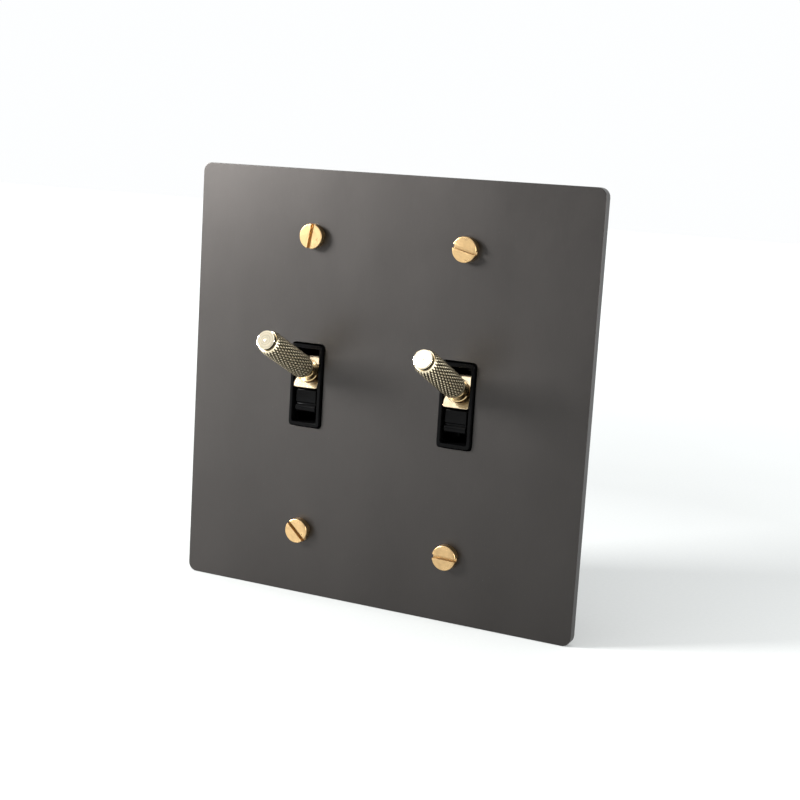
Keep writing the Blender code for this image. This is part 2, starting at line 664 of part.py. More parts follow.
def make_stud(side, axis):
    """The threaded stud that joins hub, block and grip: a flange in the block, a thin neck, a shoulder."""
    shoulder, seat, tip = GRIP_BOTTOM - GAP, BLOCK_TOP - BLOCK_SEAT_DEPTH + GAP, STUD_RADIUS - STUD_TIP
    profile = [
        (0, STUD_TOP), (tip, STUD_TOP), (STUD_RADIUS, STUD_TOP - STUD_TIP), (STUD_RADIUS, shoulder),
        (SHOULDER_RADIUS, shoulder), (SHOULDER_RADIUS, GRIP_BOTTOM - SHOULDER_FLARE / 2),
        (NECK_RADIUS, GRIP_BOTTOM - SHOULDER_FLARE), (NECK_RADIUS, FLANGE_TOP),
        (FLANGE_RADIUS - FLANGE_EDGE, FLANGE_TOP), (FLANGE_RADIUS, FLANGE_TOP - FLANGE_EDGE),
        (FLANGE_RADIUS, seat), (STUD_RADIUS, seat),
        (STUD_RADIUS, STUD_BOTTOM + STUD_TIP), (tip, STUD_BOTTOM), (0, STUD_BOTTOM),
    ]
    turned(side + "_lever_stud", profile, "pale_brass", axis, steps=24)


def make_grip(side, axis):
    """The sleeve that carries the knurl, over a plain band at its foot and chamfered at both ends."""
    profile = [
        (GRIP_BORE, GRIP_TOP), (GRIP_RADIUS - GRIP_CHAMFER, GRIP_TOP),
        (GRIP_RADIUS, GRIP_TOP - GRIP_TOP_TAPER), (GRIP_RADIUS, BAND_TOP),
        (BAND_RADIUS, BAND_TOP), (BAND_RADIUS, GRIP_BOTTOM + BAND_CHAMFER),
        (BAND_RADIUS - BAND_CHAMFER, GRIP_BOTTOM), (GRIP_BORE, GRIP_BOTTOM),
    ]
    turned(side + "_knurled_grip", profile, "pale_brass", axis, closed=True)


def make_cap(side, axis):
    """The turned end cap, pressed into the grip's bore on its stem."""
    seat, stem_end = GRIP_TOP + GAP, GRIP_TOP - CAP_STEM
    profile = [
        (0, CAP_TOP), (CAP_RADIUS - CAP_EDGE, CAP_TOP), (CAP_RADIUS, CAP_TOP - CAP_EDGE), (CAP_RADIUS, seat),
        (STUD_RADIUS, seat), (STUD_RADIUS, stem_end), (0, stem_end),
    ]
    turned(side + "_grip_cap", profile, "pale_brass", axis)


def make_spring(side, axis):
    """The coil spring between the hub's tail and the plunger."""
    start, end = SPRING_SEAT - SPRING_WIRE - SPRING_PLAY, TAIL_END + 2 * SPRING_PLAY
    curve = bpy.data.curves.new(side + "_drive_spring", "CURVE")
    curve.dimensions = "3D"
    curve.bevel_depth = SPRING_WIRE
    curve.bevel_resolution = 2
    curve.use_fill_caps = True
    spline = curve.splines.new("POLY")
    count = SPRING_TURNS * SPRING_SIDES
    spline.points.add(count)
    for number, point in enumerate(spline.points):
        turn = 2 * math.pi * number / SPRING_SIDES
        height = start + (end - start) * number / count
        point.co = (SPRING_RADIUS * math.cos(turn), SPRING_RADIUS * math.sin(turn), height, 1)
    obj = bpy.data.objects.new(side + "_drive_spring", curve)
    PARTS.objects.link(obj)
    curve.materials.append(MATERIALS["spring_steel"])
    obj.parent = axis


def make_plunger(side, axis):
    """The round-nosed plunger that the spring holds against the rocker's cradle."""
    shoulder = TAIL_END - THREAD_PLAY
    nose = arc((0, PLUNGER_TIP + PLUNGER_RADIUS), PLUNGER_RADIUS, 0, -90, 5)
    nose[-1] = (0, PLUNGER_TIP)
    pin = [(0, PLUNGER_PIN_TOP), (PLUNGER_PIN_RADIUS, PLUNGER_PIN_TOP), (PLUNGER_PIN_RADIUS, shoulder)]
    profile = [*pin, (PLUNGER_RADIUS, shoulder), *nose]
    turned(side + "_spring_plunger", profile, "cream_nylon", axis, steps=16)


def make_rocker(side, axis):
    """The see-saw contact strip, its cradle and its moving contact, all turning about the fulcrum."""
    half = ROCKER_THICKNESS / 2
    box(
        side + "_rocker_strip", (-ROCKER_WIDTH / 2, -half, ROCKER_BOTTOM),
        (ROCKER_WIDTH / 2, half, ROCKER_TOP), "terminal_brass", axis,
    )
    reach = -PLUNGER_TIP + CRADLE_CLEARANCE
    centre = PIVOT_Y - ROCKER_Y
    turn = math.degrees(math.asin(CRADLE_HALF / reach))
    back = -half - GAP
    loop = [(back, CRADLE_HALF), *arc((centre, 0), reach, turn, -turn, 12), (back, -CRADLE_HALF)]
    width = ROCKER_WIDTH - 2 * GAP
    outline(side + "_rocker_cradle", [loop], width, SIDE_PLANE, (0, 0, 0), "cream_nylon", axis)
    root = half + GAP
    face = root + CONTACT_HEIGHT
    profile = [
        (0, face), (CONTACT_RADIUS - CONTACT_EDGE, face), (CONTACT_RADIUS, face - CONTACT_EDGE),
        (CONTACT_RADIUS, root), (0, root),
    ]
    place = (0, 0, CONTACT_Z)
    turned(side + "_moving_contact", profile, "silver_contact", axis, "Y", place, steps=16)


def terminal(side, x, name, sign, strip_y, strip_low, strip_high):
    """A brass terminal: a plate in the side recess and a strip that runs into the mechanism chamber."""
    low, high = sorted((sign * TERMINAL_NEAR, sign * TERMINAL_FAR))
    plate = box(
        f"{side}_{name}", (x + TERMINAL_X, TERMINAL_FRONT, low),
        (x + TERMINAL_X + TERMINAL_THICKNESS, strip_y + STRIP_THICKNESS, high), "terminal_brass",
    )
    strip = box(
        f"{side}_{name}_strip_solid", (x - ROCKER_WIDTH / 2, strip_y, strip_low),
        (x + TERMINAL_X + TERMINAL_THICKNESS / 2, strip_y + STRIP_THICKNESS, strip_high),
    )
    hole = cylinder(
        f"{side}_{name}_hole_cutter", "X",
        (x + TERMINAL_X - OVERCUT, TERMINAL_SCREW_Y, sign * TERMINAL_SCREW_Z),
        TERMINAL_THICKNESS + 2 * OVERCUT, SCREW_SHANK_RADIUS + THREAD_PLAY,
    )
    boolean(plate, strip, "UNION")
    boolean(plate, hole)
    return plate


def make_terminals(side, x):
    common = terminal(
        side, x, "common_terminal", 1, COMMON_STRIP_Y, STRIP_REACH - COMMON_STRIP_WIDTH, STRIP_REACH,
    )
    tongue = box(
        side + "_fulcrum_tongue_solid", (x - ROCKER_WIDTH / 2, COMMON_STRIP_Y, TONGUE_END),
        (x + ROCKER_WIDTH / 2, COMMON_STRIP_Y + STRIP_THICKNESS, STRIP_REACH - COMMON_STRIP_WIDTH / 2),
    )
    tip = ROCKER_Y + ROCKER_THICKNESS / 2 + GAP
    root = COMMON_STRIP_Y + STRIP_THICKNESS / 2
    ridge_loop = [(root, RIDGE_ROOT), (root, -RIDGE_ROOT), (tip, -RIDGE_TIP), (tip, RIDGE_TIP)]
    ridge = outline(
        side + "_fulcrum_ridge_solid", [ridge_loop], RIDGE_WIDTH, SIDE_PLANE, (x, 0, 0),
    )
    boolean(common, tongue, "UNION")
    boolean(common, ridge, "UNION")
    terminal(
        side, x, "switched_terminal", -1, SWITCHED_STRIP_Y, -STRIP_REACH, SWITCHED_STRIP_WIDTH - STRIP_REACH,
    )
    base = SWITCHED_STRIP_Y - GAP
    face = base - CONTACT_HEIGHT
    profile = [
        (0, base), (CONTACT_RADIUS, base), (CONTACT_RADIUS, face + CONTACT_EDGE),
        (CONTACT_RADIUS - CONTACT_EDGE, face), (0, face),
    ]
    turned(side + "_fixed_contact", profile, "silver_contact", axis="Y", start=(x, 0, CONTACT_Z), steps=16)


def make_side_screws(side, x):
    """The two brass terminal screws and the green ground screw."""
    size = (TERMINAL_HEAD_RADIUS, TERMINAL_HEAD_HEIGHT, SCREW_SHANK_RADIUS, TERMINAL_SCREW_LENGTH,
            DRIVER_SLOT, DRIVER_SLOT)
    seat = x + TERMINAL_X + TERMINAL_THICKNESS + GAP
    turn = Matrix.Rotation(math.pi / 2, 4, "Y")
    for tag, sign in (("common", 1), ("switched", -1)):
        place = Matrix.Translation((seat, TERMINAL_SCREW_Y, sign * TERMINAL_SCREW_Z)) @ turn
        angle = DRIVER_SLOT_ANGLES[tag]
        slotted_screw(f"{side}_{tag}_terminal_screw", place, angle, size, "terminal_brass", steps=20)
    seat = x + GROUND_TAB_X - TERMINAL_THICKNESS / 2 - GAP
    place = Matrix.Translation((seat, GROUND_SCREW_Y, GROUND_TAB_Z)) @ Matrix.Rotation(-math.pi / 2, 4, "Y")
    size = (GROUND_HEAD_RADIUS, GROUND_HEAD_HEIGHT, SCREW_SHANK_RADIUS, GROUND_SCREW_LENGTH,
            DRIVER_SLOT, DRIVER_SLOT)
    angle = DRIVER_SLOT_ANGLES["ground"]
    slotted_screw(side + "_ground_screw", place, angle, size, "green_steel", steps=20)


def make_gang(side, x):
    make_strap(side, x)
    make_cover(side, x)
    make_housing(side, x)
    make_rivets(side, x)
    make_terminals(side, x)
    make_side_screws(side, x)
    lever_axis = empty(side + "_lever_axis", (x, PIVOT_Y, 0), 90 - LEVER_TILT)
    for make in (make_hub, make_block, make_stud, make_grip, make_cap, make_spring, make_plunger):
        make(side, lever_axis)
    make_rocker(side, empty(side + "_rocker_axis", (x, ROCKER_Y, 0), ROCKER_TILT))


def shade_round_pieces():
    """Smooth shading that keeps every edge over 35 degrees sharp."""
    for obj in PARTS.objects:
        if obj.type == "MESH":
            obj.data.shade_smooth()
            obj.data.set_sharp_from_angle(angle=math.radians(35))


clear_scene()
PARTS = new_collection("toggle_wall_switch", False)
CUTTERS = new_collection("cutters", True)
MATERIALS = {name: make_material(name) for name in FINISHES}
make_face_plate()
make_coin_screws()
make_retainers()
for gang_side, gang_x in GANGS.items():
    make_gang(gang_side, gang_x)
shade_round_pieces()
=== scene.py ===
"""The looks of the two-gang toggle switch: smoked bronze plate, coin-slot screws, knurled brass levers,
black mouldings and the plated parts behind the plate. All lengths are in metres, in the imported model's frame:
+X to the right, +Y into the wall, +Z up."""

import json
import math

import bmesh
import bpy
from mathutils import Matrix, Quaternion, Vector

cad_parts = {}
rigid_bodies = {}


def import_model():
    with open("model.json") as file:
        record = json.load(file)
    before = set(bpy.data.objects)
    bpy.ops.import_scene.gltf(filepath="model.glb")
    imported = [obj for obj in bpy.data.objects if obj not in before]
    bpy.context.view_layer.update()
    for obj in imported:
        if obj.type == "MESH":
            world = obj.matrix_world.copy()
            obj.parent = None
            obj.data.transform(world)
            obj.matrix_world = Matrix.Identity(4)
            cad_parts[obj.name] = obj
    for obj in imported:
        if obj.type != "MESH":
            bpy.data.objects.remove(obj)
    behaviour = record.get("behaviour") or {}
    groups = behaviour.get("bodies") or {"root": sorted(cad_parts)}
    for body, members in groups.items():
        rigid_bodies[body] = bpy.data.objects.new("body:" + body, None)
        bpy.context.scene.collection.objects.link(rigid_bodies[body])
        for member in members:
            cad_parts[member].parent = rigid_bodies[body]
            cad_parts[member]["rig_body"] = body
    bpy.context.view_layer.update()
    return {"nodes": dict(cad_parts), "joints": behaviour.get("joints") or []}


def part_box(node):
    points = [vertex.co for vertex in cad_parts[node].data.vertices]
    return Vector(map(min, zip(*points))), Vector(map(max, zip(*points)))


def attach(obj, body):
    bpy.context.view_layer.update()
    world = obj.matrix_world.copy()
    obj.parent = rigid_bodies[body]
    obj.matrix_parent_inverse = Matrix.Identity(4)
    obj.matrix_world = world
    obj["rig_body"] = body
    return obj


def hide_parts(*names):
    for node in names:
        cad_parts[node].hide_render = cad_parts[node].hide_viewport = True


MM = 0.001
WALL = "wall_unit"
SIDES = ("left", "right")
ROWS = ("upper", "lower")

# The camera: where it stands, where it looks in degrees, and its lens and sensor in millimetres
CAMERA_PLACE = (175.2 * MM, -358.1 * MM, 62.6 * MM)
CAMERA_AZIMUTH = 25.453
CAMERA_ELEVATION = 9.125
CAMERA_ROLL = 3.508
CAMERA_LENS = 65.83
CAMERA_SENSOR = 36

# The light: a large soft box at the upper left, a faint one above and in front, and one at the right that
# grazes the plate. Each has its place, the length of its sides and its power in watts.
SOFT_BOXES = {
    "key_light": ((-400 * MM, -300 * MM, 200 * MM), 180 * MM, 10.4),
    "top_light": ((-193 * MM, -435 * MM, 393 * MM), 120 * MM, 0.07),
    "side_light": ((450 * MM, -25 * MM, 95 * MM), 130 * MM, 3.5),
}
SOFT_BOX_COLOUR = (1.0, 0.995, 0.98)

# Brightness of the room that the metal mirrors, and of the backdrop that the camera sees
ROOM_LEFT = 0.85
ROOM_FRONT = 0.15
ROOM_RIGHT = 0.7
ROOM_BEHIND = 1.0
CEILING = 1.5
BACKDROP = 1.0
ROOM_COLOUR = (0.985, 0.995, 1.0)

# The floor's half side, and how far its top lies under the plate's lower edge
FLOOR_HALF = 3.0
FLOOR_DROP = 0.05 * MM

# Lever: heights are measured along its axis from its pivot, and its tilt upwards at rest is in degrees
LEVER_TILT = 24

# Knurled grip
GRIP_BOTTOM = 12.9 * MM
GRIP_TOP = 35.1 * MM
GRIP_RADIUS = 3.45 * MM
GRIP_BORE = 1.8 * MM
GRIP_CHAMFER = 0.6 * MM
GRIP_TAPER = 1.35 * MM
BAND_TOP = 14.3 * MM
BAND_RADIUS = 3.1 * MM
BAND_EDGE = 0.35 * MM
KNURL_GROOVES = 24
KNURL_LENGTH = 2.95 * MM
KNURL_DEPTH = 0.48 * MM
KNURL_SAMPLES = 10
KNURL_FOOT_SLOPE = 1.5

# End cap
CAP_TOP = 36.3 * MM
CAP_RADIUS = 2.64 * MM
CAP_RIM = 0.2 * MM
CAP_STEM = 2 * MM
CAP_SEAT = GRIP_TOP + 0.03 * MM
CAP_GROOVE_DEPTH = 0.45 * MM
CAP_GROOVE_WIDTH = 0.4 * MM
CAP_UNDERSIDE = 0.1 * MM
CAP_RECESS_DEPTH = 0.05 * MM
CAP_LAND = 0.24 * MM
CAP_STEP = 0.06 * MM
CAP_BOSS = 0.22 * MM
CAP_BOSS_FOOT = 0.08 * MM
CAP_BOSS_DROP = 0.01 * MM
CAP_DIMPLE = 0.05 * MM

# Stud, with its neck, shoulder and flange
STUD_RADIUS = 1.5 * MM
STUD_BOTTOM = 1.2 * MM
STUD_TOP = GRIP_TOP - 2.5 * MM
STUD_TIP = 0.3 * MM
NECK_RADIUS = 1.6 * MM
NECK_FILLET = 0.2 * MM
SHOULDER_RADIUS = 2.3 * MM
SHOULDER_TOP = GRIP_BOTTOM - 0.3 * MM
SHOULDER_BOTTOM = GRIP_BOTTOM - 0.5 * MM
NECK_TOP = GRIP_BOTTOM - 1.0 * MM
FLANGE_RADIUS = 3.1 * MM
FLANGE_TOP = 10.0 * MM
FLANGE_BOTTOM = 9.3 * MM
FLANGE_TOP_EDGE = 0.15 * MM
FLANGE_BOTTOM_EDGE = 0.1 * MM

# Toggle hub; points are (distance across, height)
HUB_WIDTH = 6.3 * MM
HUB_SEAT = 7 * MM
HUB_SEAT_HALF = 5.1 * MM
HUB_LEDGE = 8.2 * MM
HUB_SLOPE_END = (8.3 * MM, 6.9 * MM)
HUB_GROOVE = (8.4 * MM, 6.5 * MM)
HUB_LIP_CENTRE = (9.55 * MM, 5.5 * MM)
HUB_LIP_RADIUS = 1.1 * MM
HUB_SKIRT_BACK = ((9.2 * MM, 4.4 * MM), (5 * MM, 4.7 * MM))
HUB_DRUM_RADIUS = 4.6 * MM
HUB_TAIL_HALF = 3 * MM
HUB_TAIL = -8.2 * MM
TRUNNION_RADIUS = 2.3 * MM
TRUNNION_REACH = 6.6 * MM

# Drive spring; the closing crowds its end coils
SPRING_START = -3.4 * MM
SPRING_END = -8.0 * MM
SPRING_RADIUS = 1.4 * MM
SPRING_WIRE = 0.28 * MM
SPRING_TURNS = 5
SPRING_SIDES = 28
SPRING_CLOSING = 0.055

# Screws: head radius, head height, slot width and slot depth of each kind; slot angles in degrees
COIN_SCREW = (3.45 * MM, 2.2 * MM, 1.0 * MM, 1.2 * MM)
TERMINAL_SCREW = (3.4 * MM, 1.9 * MM, 1.1 * MM, 1.0 * MM)
GROUND_SCREW = (3.9 * MM, 2.2 * MM, 1.1 * MM, 1.1 * MM)
COIN_SLOT_ANGLES = {"left_upper": 81, "right_upper": -14, "left_lower": -43, "right_lower": -2}
DRIVER_SLOT_ANGLES = {"common": 35, "switched": 100, "ground": 20}
SEAT_GAP = 0.04 * MM
HEAD_RIM = 0.22 * MM
HEAD_DIMPLE = 0.15 * MM
UNDERCUT = 0.05 * MM
THREAD_START = -1.2 * MM
THREAD_RADIUS = 1.72 * MM
THREAD_PITCH = 0.794 * MM
THREAD_DEPTH = 0.38 * MM
THREAD_CHAMFER = 0.5 * MM
THREAD_SAMPLES = 6
COIN_SCREW_COLUMNS = 56
SIDE_SCREW_COLUMNS = 40

# Edges that turn by more than these angles, in degrees, stay sharp under smooth shading, or are rounded
SHARP_ANGLE = 35
SLOT_EDGE_ANGLE = 50


# ---------------------------------------------------------------- materials


class Look:
    """One material, built node by node round a Principled shader."""

    def __init__(self, name, colour, **settings):
        self.material = bpy.data.materials.new(name)
        self.material.use_nodes = True
        self.tree = self.material.node_tree
        self.shader = self.tree.nodes["Principled BSDF"]
        self.shader.inputs["Base Color"].default_value = (*colour, 1)
        self.colour = colour
        for key, value in settings.items():
            self.shader.inputs[key.replace("_", " ")].default_value = value

    def node(self, kind, inputs=None, **settings):
        made = self.tree.nodes.new(kind)
        for key, value in settings.items():
            setattr(made, key, value)
        for key, value in (inputs or {}).items():
            if isinstance(value, bpy.types.NodeSocket):
                self.tree.links.new(value, made.inputs[key])
            else:
                made.inputs[key].default_value = value
        return made

    def link(self, source, name):
        self.tree.links.new(source, self.shader.inputs[name])

    def place(self, scale=(1, 1, 1)):
        """Object coordinates, stretched by a scale for each axis."""
        where = self.node("ShaderNodeTexCoord").outputs["Object"]
        return self.node("ShaderNodeMapping", {"Vector": where, "Scale": scale}).outputs["Vector"]

    def noise(self, scale, stretch=(1, 1, 1), detail=3.0, rough=0.55):
        inputs = {"Vector": self.place(stretch), "Scale": scale, "Detail": detail, "Roughness": rough}
        return self.node("ShaderNodeTexNoise", inputs).outputs["Fac"]

    def height(self):
        """Distance along the object's own Z axis."""
        return self.node("ShaderNodeSeparateXYZ", {"Vector": self.place()}).outputs["Z"]

    def radius(self):
        """Distance from the object's own Z axis."""
        flat = self.place((1, 1, 0))
        return self.node("ShaderNodeVectorMath", {0: flat}, operation="LENGTH").outputs["Value"]

    def rings(self, scale):
        """Turning marks: random rings round the object's Z axis."""
        inputs = {"W": self.radius(), "Scale": scale, "Detail": 2.0}
        return self.node("ShaderNodeTexNoise", inputs, noise_dimensions="1D").outputs["Fac"]

    def math(self, operation, first, second=0.0):
        return self.node("ShaderNodeMath", {0: first, 1: second}, operation=operation).outputs[0]

    def spread(self, factor, low, high, start=0.3, end=0.7):
        """Map a factor between start and end to a value between low and high."""
        inputs = {"Value": factor, "From Min": start, "From Max": end, "To Min": low, "To Max": high}
        return self.node("ShaderNodeMapRange", inputs).outputs["Result"]

    def tint(self, factor, dark, light, start=0.3, end=0.7):
        """Multiply the base colour by a value that runs from dark to light."""
        ramp = self.spread(factor, dark, light, start, end)
        current = self.shader.inputs["Base Color"]
        source = current.links[0].from_socket if current.links else None
        mixer = self.node("ShaderNodeVectorMath", {1: (1, 1, 1)}, operation="SCALE")
        if source:
            self.tree.links.new(source, mixer.inputs[0])
        else:
            mixer.inputs[0].default_value = self.colour
        self.tree.links.new(ramp, mixer.inputs["Scale"])
        self.link(mixer.outputs["Vector"], "Base Color")

    def bump(self, height, distance, strength=1.0):
        inputs = {"Height": height, "Distance": distance, "Strength": strength}
        current = self.shader.inputs["Normal"]
        if current.links:
            inputs["Normal"] = current.links[0].from_socket
        self.link(self.node("ShaderNodeBump", inputs).outputs["Normal"], "Normal")


def smoked_bronze():
    """Dark brown-grey satin metal: hair-fine vertical brushing, faint clouding and specks of dust."""
    look = Look("smoked_bronze", (0.0432, 0.0403, 0.0388), Metallic=1.0, Roughness=0.4)
    hair = look.noise(1.0, (9000, 9000, 160), 4.0, 0.65)
    cloud = look.noise(38.0, (1, 1, 0.5), 4.0)
    look.tint(hair, 0.95, 1.05)
    look.tint(cloud, 0.95, 1.05)
    look.tint(look.noise(2600.0, detail=1.0), 1.0, 1.5, 0.74, 0.8)
    both = look.math("MULTIPLY", look.math("ADD", hair, cloud), 0.5)
    look.link(look.spread(both, 0.35, 0.43), "Roughness")
    look.bump(hair, 0.004 * MM, 0.5)
    return look.material


def satin_brass():
    """The coin screws: golden, turned across the head, darker where hands don't rub it."""
    look = Look("satin_brass", (0.52, 0.35, 0.17), Metallic=1.0, Roughness=0.3)
    rings = look.rings(9000.0)
    cloud = look.noise(420.0, detail=5.0)
    look.tint(cloud, 0.72, 1.08)
    look.tint(rings, 0.93, 1.05)
    look.link(look.spread(cloud, 0.38, 0.24), "Roughness")
    look.bump(rings, 0.012 * MM, 0.7)
    look.bump(look.noise(3500.0), 0.006 * MM, 0.5)
    return look.material


def block_brass():
    """The blocks: pale ground brass with a soft, slightly uneven polish."""
    look = Look("block_brass", (0.64, 0.52, 0.36), Metallic=1.0, Roughness=0.14)
    cloud = look.noise(350.0, detail=4.0)
    look.tint(cloud, 0.86, 1.05)
    look.link(look.spread(cloud, 0.15, 0.12), "Roughness")
    look.bump(look.noise(1.0, (7000, 7000, 500), 3.0), 0.002 * MM, 0.5)
    return look.material


def stud_brass():
    """The studs: golden brass, painted near black above the flange as painted shade for the dark gap round the
    neck under the grip.
    """
    look = Look("stud_brass", (0.66, 0.48, 0.25), Metallic=1.0, Roughness=0.2)
    height = look.height()
    cloud = look.noise(350.0, detail=4.0)
    # Painted shade: above the flange the stud is darkened to near black, standing in for the shadow under the
    # grip.
    look.tint(height, 1.0, 0.04, FLANGE_TOP, FLANGE_TOP + 0.3 * MM)
    look.tint(cloud, 0.88, 1.05)
    look.link(look.spread(cloud, 0.24, 0.16), "Roughness")
    look.bump(look.rings(5000.0), 0.004 * MM, 0.5)
    return look.material


def cap_brass():
    """The caps: bright faced ends with fine concentric tool rings and a brown film between them."""
    look = Look("cap_brass", (0.90, 0.80, 0.60), Metallic=1.0, Roughness=0.08)
    rings = look.rings(4200.0)
    look.tint(rings, 0.68, 1.05)
    look.tint(look.noise(700.0, detail=4.0), 0.93, 1.04)
    look.link(look.spread(rings, 0.09, 0.05), "Roughness")
    look.bump(rings, 0.002 * MM, 0.5)
    return look.material


def knurled_brass():
    """Pale brass, tinted near black in the knurl's grooves: partly a brown patina lying there, partly painted
    shade for the grooves' depth.
    """
    look = Look("knurled_brass", (0.80, 0.70, 0.50), Metallic=1.0, Roughness=0.25)
    height = look.height()
    slope = -GRIP_CHAMFER / GRIP_TAPER
    end_radius = GRIP_RADIUS - GRIP_CHAMFER
    taper = look.math("ADD", look.math("MULTIPLY", height, slope), end_radius - slope * GRIP_TOP)
    surface = look.math("MINIMUM", taper, GRIP_RADIUS)
    sunk = look.math("SUBTRACT", look.radius(), surface)
    # Painted shade with patina: the deeper a point lies below the grip's surface, the darker its tint, down to
    # near black in the groove bottoms.
    clean_and_unshaded = look.spread(sunk, 0.0, 1.0, -0.75 * KNURL_DEPTH, -0.4 * KNURL_DEPTH)
    foot = look.spread(height, 0.35, 0.0, BAND_TOP - KNURL_DEPTH, BAND_TOP)
    clean_and_unshaded = look.math("MAXIMUM", clean_and_unshaded, foot)
    look.tint(clean_and_unshaded, 0.015, 1.2, 0.0, 1.0)
    look.tint(look.noise(500.0, detail=4.0), 0.85, 1.05)
    look.link(look.spread(clean_and_unshaded, 0.5, 0.22, 0.0, 1.0), "Roughness")
    look.bump(look.noise(9000.0), 0.006 * MM, 0.5)
    return look.material


def black_moulding(name, gloss, shine, grain):
    """Black thermoplastic with a fine spark-eroded grain and a little handling dust."""
    look = Look(name, (0.0015, 0.0015, 0.0016), Roughness=gloss, Specular_IOR_Level=shine)
    cloud = look.noise(140.0, detail=4.0)
    look.tint(cloud, 0.8, 1.5)
    look.link(look.spread(cloud, gloss - 0.04, gloss + 0.06), "Roughness")
    look.bump(look.noise(5200.0), grain, 0.6)
    return look.material


def zinc_steel():
    """Zinc-plated sheet: cool grey with a soft spangle and rolling lines."""
    look = Look("zinc_steel", (0.56, 0.57, 0.59), Metallic=1.0, Roughness=0.34)
    spangle = look.node("ShaderNodeTexVoronoi", {"Vector": look.place(), "Scale": 700.0}).outputs["Color"]
    grain = look.node("ShaderNodeSeparateColor", {"Color": spangle}).outputs["Red"]
    rolled = look.noise(1.0, (7000, 7000, 300), 3.0)
    look.tint(grain, 0.86, 1.06, 0.0, 1.0)
    look.tint(look.noise(90.0), 0.9, 1.05)
    look.link(look.spread(grain, 0.28, 0.44, 0.0, 1.0), "Roughness")
    look.bump(rolled, 0.006 * MM, 0.5)
    return look.material


def terminal_brass():
    """Rolled brass with straight grain and a little tarnish."""
    look = Look("terminal_brass", (0.72, 0.52, 0.22), Metallic=1.0, Roughness=0.3)
    grain = look.noise(1.0, (6000, 6000, 260), 3.0)
    cloud = look.noise(240.0, detail=5.0)
    look.tint(cloud, 0.70, 1.06)
    look.link(look.spread(cloud, 0.42, 0.24), "Roughness")
    look.bump(grain, 0.006 * MM, 0.6)
    return look.material


def silver_contact():
    """Silver alloy, faced smooth and slightly tarnished."""
    look = Look("silver_contact", (0.80, 0.79, 0.76), Metallic=1.0, Roughness=0.24)
    cloud = look.noise(900.0, detail=4.0)
    look.tint(cloud, 0.78, 1.04)
    look.link(look.spread(cloud, 0.36, 0.2), "Roughness")
    look.bump(look.rings(8000.0), 0.004 * MM, 0.5)
    return look.material


def green_steel():
    """Green-dyed zinc plate, thinner on the rubbed edges."""
    look = Look("green_steel", (0.045, 0.30, 0.10), Metallic=0.75, Roughness=0.36)
    cloud = look.noise(420.0, detail=5.0)
    look.tint(cloud, 0.65, 1.2)
    look.link(look.spread(cloud, 0.45, 0.3), "Roughness")
    look.bump(look.rings(7000.0), 0.006 * MM, 0.5)
    return look.material


def fibre():
    """Pressed vulcanised fibre: matt, felted and speckled."""
    look = Look("fibre", (0.36, 0.25, 0.14), Roughness=0.85)
    felt = look.noise(2600.0, (1, 0.4, 1), 6.0, 0.7)
    look.tint(felt, 0.7, 1.25)
    look.tint(look.noise(400.0), 0.85, 1.1)
    look.link(look.spread(felt, 0.78, 0.95), "Roughness")
    look.bump(felt, 0.03 * MM, 0.8)
    return look.material


def spring_steel():
    """Drawn steel wire with a thin film of oil."""
    look = Look("spring_steel", (0.44, 0.45, 0.47), Metallic=1.0, Roughness=0.28)
    cloud = look.noise(900.0, detail=4.0)
    look.tint(cloud, 0.75, 1.05)
    look.link(look.spread(cloud, 0.38, 0.22), "Roughness")
    look.bump(look.noise(6000.0), 0.004 * MM, 0.5)
    return look.material


def cream_nylon():
    """Natural nylon: slightly translucent, softly moulded."""
    look = Look("cream_nylon", (0.72, 0.68, 0.56), Roughness=0.4, Subsurface_Weight=0.25)
    look.shader.inputs["Subsurface Radius"].default_value = (1 * MM, 0.7 * MM, 0.4 * MM)
    cloud = look.noise(300.0, detail=4.0)
    look.tint(cloud, 0.9, 1.04)
    look.link(look.spread(cloud, 0.34, 0.5), "Roughness")
    look.bump(look.noise(4200.0), 0.01 * MM, 0.5)
    return look.material


def studio_floor():
    """Matt board with painted light: darker near the object, to offset the soft boxes' pool of light there, and
    paler towards the backdrop, to make up for the light falling off.
    """
    look = Look("studio_floor", (0.37, 0.38, 0.38), Roughness=0.6)
    # Painted light: the board's colour grows paler with distance from the object, evening out the light the
    # soft boxes throw.
    look.tint(look.radius(), 1.0, 2.4, 0.2, 0.8)
    grain = look.noise(900.0, detail=3.0)
    look.tint(look.noise(9.0), 0.985, 1.01)
    look.link(look.spread(grain, 0.55, 0.65), "Roughness")
    look.bump(grain, 0.02 * MM, 0.2)
    return look.material


# ---------------------------------------------------------------- shapes


def add(name, mesh, material, body, replaces, matrix=None):
    """Put a finished mesh in the scene as a piece that rides on a body and replaces some CAD nodes."""
    piece = bpy.data.objects.new(name, mesh)
    bpy.context.scene.collection.objects.link(piece)
    mesh.materials.clear()
    mesh.materials.append(material)
    if matrix:
        piece.matrix_world = matrix
    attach(piece, body)
    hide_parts(*replaces)
    return piece


def mesh_of(name, bm, smooth_angle=SHARP_ANGLE):
    """Turn a bmesh into a mesh, smooth but for its sharp edges, or flat with an angle of 0."""
    bmesh.ops.recalc_face_normals(bm, faces=bm.faces)
    mesh = bpy.data.meshes.new(name)
    bm.to_mesh(mesh)
    bm.free()
    if smooth_angle:
        mesh.shade_smooth()
        mesh.set_sharp_from_angle(angle=math.radians(smooth_angle))
    return mesh


def round_edges(piece, width, segments=3, angle=32):
    """Round the edges that turn by more than the angle, and keep the faces between them flat."""
    bevel = piece.modifiers.new("round_edges", "BEVEL")
    bevel.width = width
    bevel.segments = segments
    bevel.limit_method = "ANGLE"
    bevel.angle_limit = math.radians(angle)
    bevel.miter_outer = "MITER_ARC"
    flats = piece.modifiers.new("flat_faces", "WEIGHTED_NORMAL")
    flats.weight = 100
    flats.keep_sharp = True


